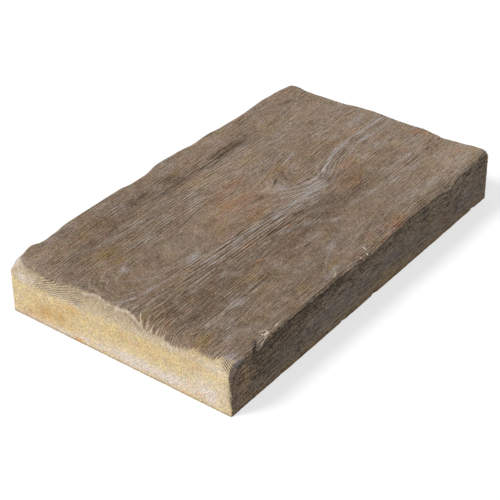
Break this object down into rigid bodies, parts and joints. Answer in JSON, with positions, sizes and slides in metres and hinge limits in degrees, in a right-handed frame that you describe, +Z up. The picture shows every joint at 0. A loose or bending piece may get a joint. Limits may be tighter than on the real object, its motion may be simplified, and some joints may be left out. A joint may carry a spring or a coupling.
{
  "type": "concrete paver",
  "caption": "Rectangular cast concrete paver with a timber-plank face, wavy rolled top edges, straight walls and a flat underside.",
  "frame": {"origin": "middle of the underside, on the ground", "axes": "+X along the length, +Y across the width, +Z up out of the timber face"},
  "size_m": [0.5, 0.3, 0.0692],
  "materials": {
    "cast_concrete": "matt cast concrete, weathered brown timber face over a pale sandy body"
  },
  "bodies": {
    "root": {"paver": "cast_concrete"}
  },
  "joints": []
}
